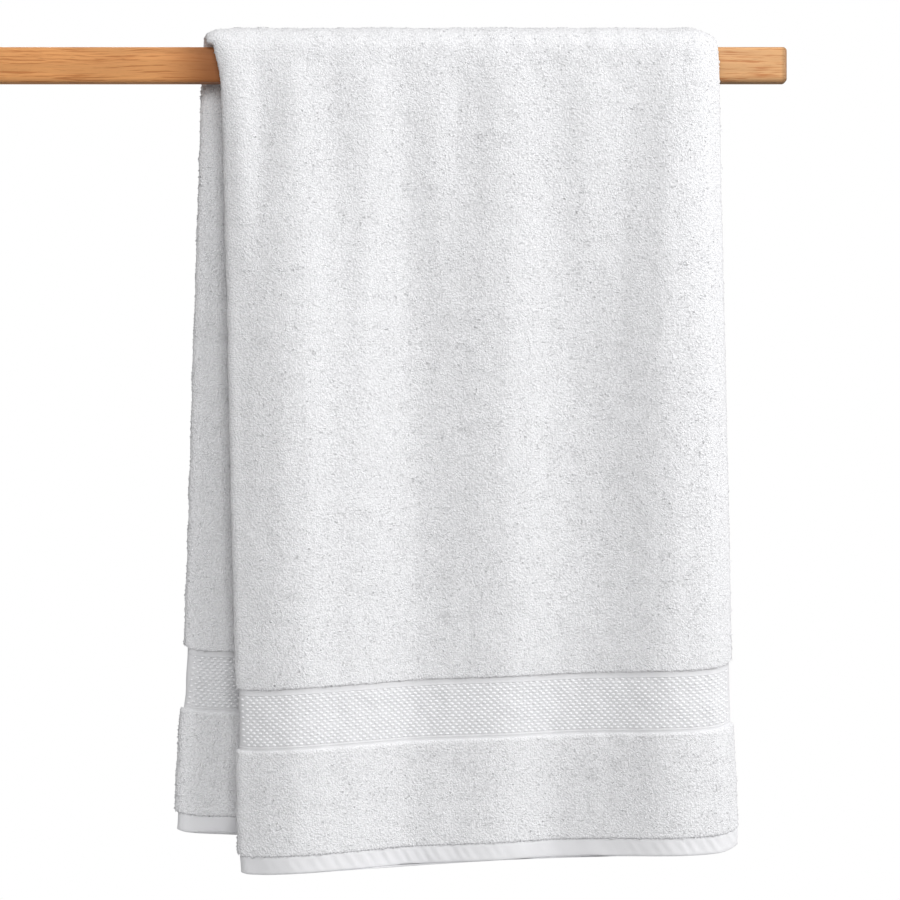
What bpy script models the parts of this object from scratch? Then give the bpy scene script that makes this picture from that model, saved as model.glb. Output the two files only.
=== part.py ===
"""A bath towel, folded in half along its length and hung over a plain wooden bar.

Metres, +Z up. +X runs along the bar from the end that a wall holds, -Y is the
towel's front. The origin is the middle of the bar's flat end face.

The towel is one cloth. Across, its section runs from the free edge at the right,
along the outer layer to the fold at the left, and back along the inner layer.
That section is carried along the cloth's length, from the front hem up, over the
bar and down to the back hem. "Along" is the distance on the cloth's middle
surface from the top of the bar: negative in front, positive behind.
"""

import math
from collections import namedtuple

import bmesh
import bpy
from mathutils import Vector

MM = 0.001

# Bar
BAR_LENGTH = 640 * MM
BAR_DEPTH = 20 * MM
BAR_HEIGHT = 27.3 * MM
BAR_ARRIS = 3 * MM
ARRIS_SEGMENTS = 3

# Cloth
PILE_THICKNESS = 5.8 * MM
LAYER_GAP = 1.2 * MM
ARRIS_CLEARANCE = 2 * MM
REST_GAP = 0.3 * MM
FOLD_REACH = 8 * MM
FOLD_REACH_ON_BAR = 15 * MM
INNER_LAYER_SHORT = 20 * MM
EDGE_ROUND = 4 * MM
EDGE_LEFT = 0.3
STEP_LENGTH = 2 * MM

# How the cloth hangs
RIDGES_START, RIDGES_FULL = 10 * MM, 62 * MM
RIDGES_GROWN = 0.45
CURL_START, CURL_FULL = 46 * MM, 120 * MM
FREE_EDGE_DROOP = 6.5 * MM
DROOP_START = 2 * MM
FRONT_DRIFT = 1 * MM
BACK_DRIFT = 4 * MM
DRIFT_FROM, DRIFT_TO = 0.1, 0.9

# Columns and rows of the mesh
LAYER_COLUMNS = 27
FOLD_COLUMNS = 6
FRONT_ROWS = 10
BACK_ROWS = 7
BEND_ROWS = 4
BELOW_BEND = 12 * MM
LONG_STRETCH = 60 * MM
ROW_CROWDING = 1.25
EDGE_SHARES = (0.5, 0.12, 0)
NEAR = 0.5 * MM

# Places worked out from the sizes above
LAYER_MIDDLE = (LAYER_GAP + PILE_THICKNESS) / 2
ARRIS_Y = BAR_DEPTH / 2 - BAR_ARRIS
ARRIS_Z = BAR_HEIGHT / 2 - BAR_ARRIS
BEND = BAR_ARRIS + ARRIS_CLEARANCE + PILE_THICKNESS + LAYER_GAP / 2
BEND_END = ARRIS_Y + BEND * math.pi / 2

# The weave's stretches, from a hem inwards. An inset is how far the stretch's
# edge stands back from the pile's edge.
Stretch = namedtuple("Stretch", "name length thickness inset_left inset_right")
STRETCHES = (
    Stretch("hem", 14.2 * MM, 3.4 * MM, 2.4 * MM, 0.6 * MM),
    Stretch("border pile", 79.2 * MM, PILE_THICKNESS, 0, 0),
    Stretch("woven band", 48 * MM, 2.8 * MM, 2.8 * MM, 2.3 * MM),
    Stretch("main pile", math.inf, PILE_THICKNESS, 0, 0),
)

# A side edge's place along the bar, in front and behind, and where over the bar
# it passes from one to the other. A lean is its shift for each metre hung, and a
# spread is its shift outwards at the hem.
Edge = namedtuple(
    "Edge", "name front back turn reach lean_front lean_back spread_front spread_back"
)
LEFT_EDGE = Edge(
    "left", 206.1 * MM, 191.2 * MM, -16 * MM, 25 * MM, 0.0233, -0.0302, -1.4 * MM, -3.5 * MM
)
RIGHT_EDGE = Edge(
    "right", 587.2 * MM, 576.0 * MM, 6 * MM, 25 * MM, 0.0220, -0.0285, 2.0 * MM, 1.0 * MM
)
SPREAD_LENGTH = 110 * MM

# A hem's line, seen from the front: its drop below the bar's middle at the left
# edge, how far it climbs towards the right, and how far its two corners lift.
Hem = namedtuple("Hem", "drop climb level lift_left lift_right reach_left reach_right")
FRONT_HEM = Hem(620 * MM, 27 * MM, 9.1 * MM, 4.0 * MM, 7.0 * MM, 0.020, 0.025)
BACK_HEM = Hem(590 * MM, -15.2 * MM, 0, 4.6 * MM, 5.0 * MM, 0.015, 0.025)

# Soft ridges that stand out from a panel. Across is a share of its width from
# the left, at the bar and at the hem. Each side of a ridge has its own width. A
# ridge fades between two shares of the drop, or grows towards the hem where
# fade_to is the smaller one, and a hollow sinks back.
Ridge = namedtuple(
    "Ridge",
    "name across_top across_low left_top left_low right_top right_low"
    " rise_top rise_low fade_from fade_to",
)
NEVER = (2.0, 3.0)
BY_HEM = (1.05, 0.7)
FRONT_RIDGES = (
    Ridge("left tuck", 0.037, 0.053, 9 * MM, 11 * MM, 12 * MM, 10 * MM, 3.9 * MM, 6.9 * MM, 0.16, 0.36),
    Ridge("left fold", 0.153, 0.125, 15 * MM, 42 * MM, 23 * MM, 33 * MM, 4.2 * MM, 15.8 * MM, *NEVER),
    Ridge("shoulder", 0.296, 0.242, 23 * MM, 21 * MM, 18 * MM, 27 * MM, 4.9 * MM, 5.8 * MM, 0.60, 1.20),
    Ridge("short fold", 0.423, 0.441, 14 * MM, 19 * MM, 17 * MM, 18 * MM, 2.4 * MM, 3.0 * MM, 0.20, 0.42),
    Ridge("middle fold", 0.570, 0.539, 22 * MM, 41 * MM, 26 * MM, 32 * MM, 4.8 * MM, 12.7 * MM, *NEVER),
    Ridge("low fold", 0.729, 0.750, 13 * MM, 21 * MM, 19 * MM, 16 * MM, 1.7 * MM, 3.3 * MM, 0.18, 0.45),
    Ridge("right fold", 0.913, 0.876, 13 * MM, 39 * MM, 31 * MM, 58 * MM, 4.1 * MM, 17.0 * MM, *NEVER),
    Ridge("hollow", 0.537, 0.509, 59 * MM, 91 * MM, 62 * MM, 94 * MM, -1.4 * MM, -10.1 * MM, *NEVER),
    Ridge("valley", 0.366, 0.360, 14 * MM, 27 * MM, 16 * MM, 23 * MM, 0, -4.1 * MM, *NEVER),
    Ridge("hem valley", 0.636, 0.603, 14 * MM, 40 * MM, 14 * MM, 31 * MM, 0, -9.1 * MM, *BY_HEM),
    Ridge("hem fold", 0.259, 0.228, 14 * MM, 25 * MM, 14 * MM, 19 * MM, 0, 3.0 * MM, *BY_HEM),
    Ridge("hem pleat", 0.409, 0.388, 14 * MM, 18 * MM, 14 * MM, 16 * MM, 0, 2.5 * MM, *BY_HEM),
)
BACK_RIDGES = (
    Ridge("left fold", 0.110, 0.150, 18 * MM, 34 * MM, 22 * MM, 40 * MM, 4.0 * MM, 8.5 * MM, *NEVER),
    Ridge("short fold", 0.270, 0.300, 18 * MM, 22 * MM, 20 * MM, 26 * MM, 3.6 * MM, 2.5 * MM, 0.18, 0.50),
    Ridge("middle fold", 0.450, 0.420, 24 * MM, 40 * MM, 20 * MM, 34 * MM, 4.4 * MM, 9.5 * MM, *NEVER),
    Ridge("low fold", 0.620, 0.590, 16 * MM, 22 * MM, 22 * MM, 26 * MM, 3.6 * MM, 3.0 * MM, 0.25, 0.60),
    Ridge("right fold", 0.810, 0.770, 20 * MM, 38 * MM, 26 * MM, 48 * MM, 4.4 * MM, 9.0 * MM, *NEVER),
    Ridge("hollow", 0.550, 0.600, 60 * MM, 90 * MM, 60 * MM, 90 * MM, 0, -3.0 * MM, *NEVER),
)

# How far a panel's side edge turns back, and over what share of the width.
Curl = namedtuple("Curl", "left right reach_left reach_right")
FRONT_CURL = Curl(4.0 * MM, 3.5 * MM, 0.045, 0.05)
BACK_CURL = Curl(3.5 * MM, 4.0 * MM, 0.06, 0.05)

WHITE_COTTON = ("white cotton", (0.79, 0.80, 0.81), 0.95)
OAK = ("oak", (0.62, 0.36, 0.16), 0.55)


def ease(start, end, value):
    """0 before start, 1 after end, and a smooth passage between."""
    share = min(max((value - start) / (end - start), 0), 1)
    return share * share * (3 - 2 * share)


def blend(first, second, share):
    return first + (second - first) * share


def edge_place(edge, along):
    """A side edge's place along the bar."""
    passed = (1 + math.tanh((along - edge.turn) / edge.reach)) / 2
    behind = along > 0
    lean = (edge.lean_back if behind else edge.lean_front) * abs(along)
    low = (BACK_HEM if behind else FRONT_HEM).drop
    flare = edge.spread_back if behind else edge.spread_front
    return (
        blend(edge.front, edge.back, passed)
        + lean
        + flare * ease(low - SPREAD_LENGTH, low, abs(along))
    )


def hem_along(hem, across):
    """How far from the bar's top the hem lies, on the cloth's middle surface."""
    drop = hem.drop - hem.climb * across + hem.level * across * across
    drop -= hem.lift_left * math.exp(-across / hem.reach_left)
    drop -= hem.lift_right * math.exp(-(1 - across) / hem.reach_right)
    return BEND_END + ARRIS_Z + drop


def over_bar(along):
    """The middle surface's path in the plane across the bar, before its ridges:
    a point (y, z) and the way out from the bar."""
    side = 1 if along > 0 else -1
    far = abs(along)
    turn = min(max(far - ARRIS_Y, 0) / BEND, math.pi / 2)
    out_y, out_z = math.sin(turn), math.cos(turn)
    y = min(far, ARRIS_Y) + BEND * out_y
    z = ARRIS_Z + BEND * out_z - max(far - BEND_END, 0)
    return side * y, z, side * out_y, out_z


def ridge_height(ridge, across, width, share):
    """One ridge's height at a place across the panel, at a share of the drop."""
    from_middle = (across - blend(ridge.across_top, ridge.across_low, share)) * width
    grown = ease(0, RIDGES_GROWN, share)
    if from_middle < 0:
        spread = blend(ridge.left_top, ridge.left_low, grown)
    else:
        spread = blend(ridge.right_top, ridge.right_low, grown)
    rise = blend(ridge.rise_top, ridge.rise_low, grown)
    rise *= 1 - ease(ridge.fade_from, ridge.fade_to, share)
    return rise * math.exp(-((from_middle / spread) ** 2))


def relief(across, along, width):
    """How far the panel stands out from its straight hang."""
    far = abs(along)
    if along > 0:
        ridges, curl, hem, drift = BACK_RIDGES, BACK_CURL, BACK_HEM, BACK_DRIFT
    else:
        ridges, curl, hem, drift = FRONT_RIDGES, FRONT_CURL, FRONT_HEM, FRONT_DRIFT
    share = far / hem.drop
    height = sum(ridge_height(ridge, across, width, share) for ridge in ridges)
    height *= ease(RIDGES_START, RIDGES_FULL, far)
    turned = curl.left * math.exp(-across / curl.reach_left)
    turned += curl.right * math.exp(-(1 - across) / curl.reach_right)
    settled = turned + drift * ease(DRIFT_FROM, DRIFT_TO, share)
    return height - settled * ease(CURL_START, CURL_FULL, far)


def middle_surface(across, along):
    y, z, out_y, out_z = over_bar(along)
    left, right = edge_place(LEFT_EDGE, along), edge_place(RIGHT_EDGE, along)
    out = relief(across, along, right - left)
    return Vector((blend(left, right, across), y + out_y * out, z + out_z * out))


def cloth_point(across, along, out):
    """A point off the middle surface, on its outward side where out is positive."""
    width = edge_place(RIGHT_EDGE, along) - edge_place(LEFT_EDGE, along)
    sideways = middle_surface(across + NEAR / width, along)
    sideways -= middle_surface(across - NEAR / width, along)
    onwards = middle_surface(across, along + NEAR) - middle_surface(across, along - NEAR)
    return middle_surface(across, along) + sideways.cross(onwards).normalized() * out


def stretch_at(distance):
    """Thickness and insets at a distance from the nearest hem, with a short step
    where one stretch of the weave meets the next."""
    start = 0
    here = STRETCHES[0]
    values = [here.thickness, here.inset_left, here.inset_right]
    for here, following in zip(STRETCHES, STRETCHES[1:]):
        start += here.length
        share = ease(start - STEP_LENGTH / 2, start + STEP_LENGTH / 2, distance)
        after = (following.thickness, following.inset_left, following.inset_right)
        values = [blend(value, new, share) for value, new in zip(values, after)]
    return values


def edge_taper(distance):
    """The share of the thickness that is left this near to a free edge."""
    inside = min(distance / EDGE_ROUND, 1)
    return EDGE_LEFT + (1 - EDGE_LEFT) * math.sqrt(1 - (1 - inside) ** 2)


def sag_on_bar(along):
    """How far the inner layer sinks onto the bar's top between the two arrises."""
    if abs(along) >= ARRIS_Y:
        return 0
    depth = ARRIS_CLEARANCE - REST_GAP
    return depth * math.cos(math.pi * along / (2 * ARRIS_Y)) ** 2


def free_edge_droop(to_edge):
    """The outer layer's free edge falls in past the end of the inner layer."""
    passed = INNER_LAYER_SHORT - to_edge - DROOP_START
    return FREE_EDGE_DROOP * ease(0, INNER_LAYER_SHORT, passed)


def section(row):
    """The cloth's closed outline across its width, for one row along its length:
    the outer side from free edge to free edge, then the inner side back."""
    along_middle = row(0.5)
    from_front = hem_along(FRONT_HEM, 0.5) + along_middle
    from_back = hem_along(BACK_HEM, 0.5) - along_middle
    distance = min(from_front, from_back)
    thickness, inset_left, inset_right = stretch_at(distance)
    half = thickness / 2 * edge_taper(distance)
    left, right = edge_place(LEFT_EDGE, along_middle), edge_place(RIGHT_EDGE, along_middle)
    width = right - left
    on_bar = 1 - ease(BEND_END, 2 * BEND_END, abs(along_middle))
    reach = blend(FOLD_REACH, FOLD_REACH_ON_BAR, on_bar)
    sag = sag_on_bar(along_middle)
    outer_side, inner_side = [], []

    def place(from_left, out, side):
        across = from_left / width
        side.append(cloth_point(across, row(across), out))

    fold_end = inset_left + reach
    step = (width - fold_end) / LAYER_COLUMNS
    straight = [fold_end + step * column for column in range(LAYER_COLUMNS)]
    outer_end = width - inset_right
    outer_columns = straight + [outer_end - EDGE_ROUND * share for share in EDGE_SHARES]
    inner_end = width - INNER_LAYER_SHORT
    inner_columns = [from_left for from_left in straight if from_left < inner_end - EDGE_ROUND]
    inner_columns += [inner_end - EDGE_ROUND * share for share in EDGE_SHARES]

    for from_left in reversed(outer_columns):
        spare = half * edge_taper(outer_end - from_left)
        middle = LAYER_MIDDLE - free_edge_droop(outer_end - from_left)
        place(from_left, middle + spare, outer_side)
        place(from_left, middle - spare, inner_side)
    outer_turn = LAYER_MIDDLE + half + sag / 2
    inner_turn = LAYER_MIDDLE - half + sag / 2
    for column in range(1, FOLD_COLUMNS):
        turn = math.pi * column / FOLD_COLUMNS
        swing, height = math.sin(turn), math.cos(turn)
        place(fold_end - reach * swing, outer_turn * height - sag / 2, outer_side)
        place(inset_left + thickness + inner_turn * (1 - swing), inner_turn * height - sag / 2, inner_side)
    for from_left in inner_columns:
        spare = half * edge_taper(inner_end - from_left)
        place(from_left, -LAYER_MIDDLE - sag - spare, outer_side)
        place(from_left, -LAYER_MIDDLE - sag + spare, inner_side)
    return outer_side, inner_side


def rows():
    """Each row is a function that gives its place along for a place across."""
    from_hem = [0, EDGE_ROUND / 2]
    start = 0
    for stretch in STRETCHES[:-1]:
        if stretch.length > LONG_STRETCH:
            from_hem.append(start + stretch.length / 2)
        start += stretch.length
        from_hem += [start - STEP_LENGTH / 2, start + STEP_LENGTH / 2]
    bend = [ARRIS_Y + BEND * math.pi / 2 * row / BEND_ROWS for row in range(BEND_ROWS + 1)]
    bend.append(BEND_END + BELOW_BEND)

    def near_hem(hem, side, distance):
        return lambda across: side * (hem_along(hem, across) - distance)

    def hanging(hem, side, share):
        return lambda across: side * blend(bend[-1], hem_along(hem, across) - from_hem[-1], share)

    def level(along):
        return lambda across: along

    found = [near_hem(FRONT_HEM, -1, distance) for distance in from_hem]
    shares = [(row / FRONT_ROWS) ** ROW_CROWDING for row in range(1, FRONT_ROWS)]
    found += [hanging(FRONT_HEM, -1, share) for share in reversed(shares)]
    found += [level(-along) for along in reversed(bend)]
    found += [level(along) for along in [0] + bend]
    shares = [(row / BACK_ROWS) ** ROW_CROWDING for row in range(1, BACK_ROWS)]
    found += [hanging(BACK_HEM, 1, share) for share in shares]
    found += [near_hem(BACK_HEM, 1, distance) for distance in reversed(from_hem)]
    return found


def finished(name, mesh_data, material):
    """An object with one material, from a bmesh."""
    colour_name, colour, roughness = material
    mesh = bpy.data.meshes.new(name)
    bmesh.ops.recalc_face_normals(mesh_data, faces=mesh_data.faces)
    mesh_data.to_mesh(mesh)
    mesh_data.free()
    surface = bpy.data.materials.new(colour_name)
    surface.use_nodes = True
    shader = surface.node_tree.nodes["Principled BSDF"]
    shader.inputs["Base Color"].default_value = (*colour, 1)
    shader.inputs["Roughness"].default_value = roughness
    shader.inputs["Metallic"].default_value = 0
    mesh.materials.append(surface)
    mesh.shade_smooth()
    mesh.set_sharp_from_angle(angle=math.radians(40))
    made = bpy.data.objects.new(name, mesh)
    bpy.context.scene.collection.objects.link(made)
    return made


def towel():
    cloth = bmesh.new()
    outer_rows, inner_rows = [], []
    for row in rows():
        outer_side, inner_side = section(row)
        outer_rows.append([cloth.verts.new(point) for point in outer_side])
        inner_rows.append([cloth.verts.new(point) for point in inner_side])
    columns = len(outer_rows[0])
    for row in range(len(outer_rows) - 1):
        ring = outer_rows[row] + inner_rows[row][::-1]
        onward = outer_rows[row + 1] + inner_rows[row + 1][::-1]
        for place in range(len(ring)):
            cloth.faces.new((ring[place - 1], ring[place], onward[place], onward[place - 1]))
    for end in (0, -1):
        outer_side, inner_side = outer_rows[end], inner_rows[end]
        for place in range(1, columns):
            edge = (outer_side[place - 1], outer_side[place])
            cloth.faces.new((*edge, inner_side[place], inner_side[place - 1]))
    return finished("towel", cloth, WHITE_COTTON)


def bar():
    wood = bmesh.new()
    bmesh.ops.create_cube(wood, size=1)
    bmesh.ops.scale(wood, vec=(BAR_LENGTH, BAR_DEPTH, BAR_HEIGHT), verts=wood.verts)
    bmesh.ops.translate(wood, vec=(BAR_LENGTH / 2, 0, 0), verts=wood.verts)
    held = [edge for edge in wood.edges if all(vertex.co.x < BAR_ARRIS for vertex in edge.verts)]
    free = [edge for edge in wood.edges if edge not in held]
    bmesh.ops.bevel(
        wood, geom=free, offset=BAR_ARRIS, segments=ARRIS_SEGMENTS, profile=0.5, affect="EDGES"
    )
    return finished("bar", wood, OAK)


def main():
    for leftover in list(bpy.data.objects):
        bpy.data.objects.remove(leftover, do_unlink=True)
    bar()
    towel()


main()
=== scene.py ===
import math
from collections import namedtuple

import bpy
import numpy as np
from bpy.props import FloatProperty, FloatVectorProperty, PointerProperty
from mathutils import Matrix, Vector


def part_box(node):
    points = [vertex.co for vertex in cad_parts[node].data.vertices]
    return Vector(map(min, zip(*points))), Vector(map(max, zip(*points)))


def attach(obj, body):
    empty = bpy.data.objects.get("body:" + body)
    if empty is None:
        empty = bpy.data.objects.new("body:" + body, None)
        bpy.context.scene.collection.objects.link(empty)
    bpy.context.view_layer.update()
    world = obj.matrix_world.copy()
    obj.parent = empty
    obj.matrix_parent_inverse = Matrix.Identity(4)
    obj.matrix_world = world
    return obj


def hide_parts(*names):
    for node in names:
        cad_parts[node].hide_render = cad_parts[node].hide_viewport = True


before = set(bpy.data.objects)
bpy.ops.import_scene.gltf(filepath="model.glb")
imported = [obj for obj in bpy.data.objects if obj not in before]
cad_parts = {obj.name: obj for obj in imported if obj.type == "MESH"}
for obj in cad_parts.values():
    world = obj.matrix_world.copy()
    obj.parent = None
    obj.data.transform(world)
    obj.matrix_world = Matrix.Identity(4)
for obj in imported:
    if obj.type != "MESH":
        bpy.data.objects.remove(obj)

bl_info = {
    "name": "Bath towel on a bar",
    "version": (1, 0, 0),
    "blender": (4, 5, 0),
    "location": "3D View > Sidebar > Bath towel",
    "description": "A terry bath towel, folded in half and hung over a wooden bar",
    "category": "Add Mesh",
}

MM = 0.001

# The bar, as its solid
BAR_LOW, BAR_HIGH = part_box("bar")
BAR_DEPTH = BAR_HIGH.y - BAR_LOW.y
BAR_HEIGHT = BAR_HIGH.z - BAR_LOW.z
BAR_ARRIS = 3 * MM
SAWN_ARRIS = 0.4 * MM
END_FACING, SMOOTH_ANGLE = 0.95, math.radians(35)

# The cloth's hang, as the towel's solid
PILE_THICKNESS = 5.8 * MM
LAYER_GAP = 1.2 * MM
ARRIS_CLEARANCE = 2 * MM
REST_GAP = 0.3 * MM
FOLD_REACH = 8 * MM
FOLD_REACH_ON_BAR = 15 * MM
INNER_LAYER_SHORT = 20 * MM
EDGE_ROUND = 4 * MM
RIDGES_START, RIDGES_FULL = 10 * MM, 62 * MM
CURL_START, CURL_FULL = 46 * MM, 120 * MM
FREE_EDGE_DROOP = 6.5 * MM
DROOP_START = 2 * MM
SPREAD_LENGTH = 110 * MM
HEM_LENGTH = 14.2 * MM
BORDER_LENGTH = 79.2 * MM
BAND_LENGTH = 48 * MM

# Places worked out from the sizes above
LAYER_MIDDLE = (LAYER_GAP + PILE_THICKNESS) / 2
ARRIS_Y = BAR_DEPTH / 2 - BAR_ARRIS
ARRIS_Z = BAR_HEIGHT / 2 - BAR_ARRIS
BEND = BAR_ARRIS + ARRIS_CLEARANCE + PILE_THICKNESS + LAYER_GAP / 2
BEND_END = ARRIS_Y + BEND * math.pi / 2
LEVEL_END = BEND_END + 12 * MM
BAND_START = HEM_LENGTH + BORDER_LENGTH
BAND_END = BAND_START + BAND_LENGTH
NEAR_HEM = BAND_END + 1 * MM

# A side edge: its place along the bar on the front and the back panel, where it
# passes from one to the other and how slowly, how each panel's edge leans and
# flares, and whether it is the rolled fold
Edge = namedtuple(
    "Edge", "front back turn reach lean_front lean_back spread_front spread_back rolled"
)
LEFT_EDGE = Edge(
    206.1 * MM, 191.2 * MM, -16 * MM, 25 * MM, 0.0233, -0.0302, -1.4 * MM, -3.5 * MM, True
)
RIGHT_EDGE = Edge(
    587.2 * MM, 576.0 * MM, 6 * MM, 25 * MM, 0.0220, -0.0285, 2.0 * MM, 1.0 * MM, False
)
# Where the rolled fold on the bar's top bulges out past the front panel
ROLL_START, ROLL_FULL, ROLL_SHARE = -23.5 * MM, -18 * MM, 0.76

Hem = namedtuple("Hem", "drop climb level lift_left lift_right reach_left reach_right")
FRONT_HEM = Hem(620 * MM, 27 * MM, 9.1 * MM, 4.0 * MM, 7.0 * MM, 0.020, 0.025)
BACK_HEM = Hem(590 * MM, -15.2 * MM, 0, 4.6 * MM, 5.0 * MM, 0.015, 0.025)

# A fold of a panel: its middle across the panel, how far it spreads to its left and
# its right and how high it rises, each at the top and low down; then it fades away
# between two shares of the panel's drop
Ridge = namedtuple(
    "Ridge",
    "across_top across_low left_top left_low right_top right_low"
    " rise_top rise_low fade_from fade_to",
)


def ridges(*rows):
    """A panel's ridges, from rows whose six lengths are in millimetres."""
    return [Ridge(*row[:2], *(length * MM for length in row[2:8]), *row[8:]) for row in rows]


NEVER = (2.0, 3.0)
BY_HEM = (1.05, 0.7)
FRONT_RIDGES = ridges(
    (0.037, 0.053, 9, 11, 12, 10, 3.9, 6.9, 0.16, 0.36),
    (0.153, 0.125, 15, 42, 23, 33, 4.2, 15.8, *NEVER),
    (0.296, 0.242, 23, 21, 18, 27, 4.9, 5.8, 0.60, 1.20),
    (0.423, 0.441, 14, 19, 17, 18, 2.4, 3.0, 0.20, 0.42),
    (0.570, 0.539, 22, 41, 26, 32, 4.8, 12.7, *NEVER),
    (0.729, 0.750, 13, 21, 19, 16, 1.7, 3.3, 0.18, 0.45),
    (0.913, 0.876, 13, 39, 31, 58, 4.1, 17.0, *NEVER),
    (0.537, 0.509, 59, 91, 62, 94, -1.4, -10.1, *NEVER),
    (0.366, 0.360, 14, 27, 16, 23, 0, -4.1, *NEVER),
    (0.636, 0.603, 14, 40, 14, 31, 0, -9.1, *BY_HEM),
    (0.259, 0.228, 14, 25, 14, 19, 0, 3.0, *BY_HEM),
    (0.409, 0.388, 14, 18, 14, 16, 0, 2.5, *BY_HEM),
)
BACK_RIDGES = ridges(
    (0.110, 0.150, 18, 34, 22, 40, 4.0, 8.5, *NEVER),
    (0.270, 0.300, 18, 22, 20, 26, 3.6, 2.5, 0.18, 0.50),
    (0.450, 0.420, 24, 40, 20, 34, 4.4, 9.5, *NEVER),
    (0.620, 0.590, 16, 22, 22, 26, 3.6, 3.0, 0.25, 0.60),
    (0.810, 0.770, 20, 38, 26, 48, 4.4, 9.0, *NEVER),
    (0.550, 0.600, 60, 90, 60, 90, 0, -3.0, *NEVER),
)
RIDGES_GROWN = 0.45
DRIFT_FROM, DRIFT_TO = 0.1, 0.9

# A panel's hem and ridges, the curl of its side edges and how far it drifts inwards
Curl = namedtuple("Curl", "left right reach_left reach_right")
Panel = namedtuple("Panel", "hem ridges curl drift")
FRONT = Panel(FRONT_HEM, FRONT_RIDGES, Curl(4.0 * MM, 3.5 * MM, 0.045, 0.05), 1 * MM)
BACK = Panel(BACK_HEM, BACK_RIDGES, Curl(3.5 * MM, 4.0 * MM, 0.06, 0.05), 4 * MM)

# The flat cloth of a hem and of a band: its thickness, and how far its side
# edges stand back from the pile's
Flat = namedtuple("Flat", "thickness inset_left inset_right")
HEM_CLOTH = Flat(3.4 * MM, 2.4 * MM, 0.6 * MM)
BAND_CLOTH = Flat(2.8 * MM, 2.8 * MM, 2.3 * MM)


def plain(*distances):
    """Rows of the flat cloth alone."""
    return [(distance, 0, 0) for distance in distances]


# The profile of the cloth from a hem inwards: distance from the hem in millimetres,
# share of the pile's height, and what stands out from the flat cloth in millimetres
Profile = namedtuple("Profile", "distance pile extra cloth")
HEM_PROFILE = (
    *plain(0.0, 0.25, 0.7, 1.5, 2.6, 4.2, 5.9, 7.6, 9.3, 10.8), (12.0, 0, -0.1), (12.8, 0, -0.5),
    (13.4, 0, -0.9), (13.9, 0, -1.1), (14.2, 0.25, -0.6), (14.0, 0.6, 0), (14.4, 0.86, 0),
    (15.4, 0.97, 0), (17.4, 1, 0),
)
BAND_PROFILE = (
    (88.6, 1, 0), (90.2, 0.98, 0), (91.4, 0.92, 0), (92.4, 0.8, 0), (93.1, 0.6, 0), (93.6, 0.3, 0),
    (93.9, 0.04, 0), *plain(94.4, 95.8), (96.1, 0, 0.8), (96.5, 0, 0.9), (96.8, 0, -0.4),
    (97.4, 0, -0.4), *plain(98.0, 100, 104, 108, 112, 116, 120, 124, 128, 132, 134.8),
    (135.2, 0, -0.4), (135.6, 0, -0.4), (135.9, 0, 0.9), (136.3, 0, 0.8),
    *plain(136.7, 138.4, 140.4), (141.0, 0.1, 0), (140.5, 0.55, 0), (141.0, 0.84, 0),
    (142.1, 0.97, 0), (144.1, 1, 0),
)
HEM_ROLL = 1.9 * MM
THINNEST = 0.12
# The rib between the border and the band ends here, and is plain like the hem. Rows
# with less than the least pile are flat cloth.
RIB_END = 96.7 * MM
LEAST_PILE = 0.05
PILE_SLOT, BAND_SLOT, HEM_SLOT = 0, 1, 2

# The cloth's mesh: its rows over the panels and the bar, and its columns over the
# outer layer, the fold and the inner layer, and near a free edge
FRONT_STEP, BACK_STEP = 10 * MM, 12 * MM
LEVEL_ROWS = 59
SHOWN_COLUMNS = (200, 14, 44)
HIDDEN_COLUMNS = (26, 8, 20)
EDGE_COLUMNS = np.array([0, 0.12, 0.5, 1.1, 2.0, 3.0, 4.2]) * MM
HIDDEN_EDGE_COLUMNS = np.array([0, 0.5, 2.0, 4.2]) * MM

# The steps from which the cloth's directions are found
SURFACE_STEP = 0.5 * MM
SKIN_STEP = 0.4 * MM

# The quiet unevenness of the shown side, from waves whose lengths lie between two
# in millimetres, and how far the side is sunk below the tips of its tufts
DIMPLE_SEED, DIMPLE_WAVES, DIMPLE_LENGTHS = 11, 26, (16, 48)
SKIN_SUNK = 0.4 * MM

# The hems' puckers: their slant, where they grow and end from the hem, and where
# across it they are deepest. A wave has a share, a length and a wavering of its own.
PUCKER_SLANT = 0.6
PUCKERS_GROW, PUCKERS_END = (0.5 * MM, 3.5 * MM), (11 * MM, 13 * MM)
PUCKERS_MIDDLE, PUCKERS_REACH = 262 * MM, 42 * MM
PUCKER_WAVES = ((1.0, 8.3 * MM, 2.6, 31 * MM), (0.5, 5.6 * MM, 1.7, 23 * MM))

# How wide the trim is on the strip that faces the front, and how far from the
# bar's top, along the cloth, its tufts start
FACING_WIDTH = 62 * MM
BELOW_BAR = 48 * MM

# The band's raised dots. Between two turns round the fold there are none.
DOT_PITCH = 4.85 * MM
DOT_ROW_PITCH = 2.28 * MM
DOT_ROWS = 17
DOTS_START = 98.4 * MM
DOTS_INSET = 3.6 * MM
DOT_STRAY, DOT_ROW_STRAY = 0.10 * MM, 0.06 * MM
DOT_SIZES, DOT_HEIGHTS = (0.92, 1.08), (0.85, 1.15)
DOT_SEED, STITCH_SEED = 5, 21
PLAIN_TURNS = (0.35, 2.25)

# The hem's stitches, as far as a turn round the fold, and a stitch's half sizes
STITCH_PITCH = 2.7 * MM
STITCH_DISTANCE = 13.3 * MM
STITCH_INSET = 2.5 * MM
STITCH_STRAY = 0.12 * MM
STITCH_LIFT = -0.25 * MM
STITCH_TURN = 1.6
STITCH_LENGTH, STITCH_WIDTH, STITCH_HEIGHT = 0.92 * MM, 0.48 * MM, 0.42 * MM
STITCH_LENGTHS = (0.92, 1.08)

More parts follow.
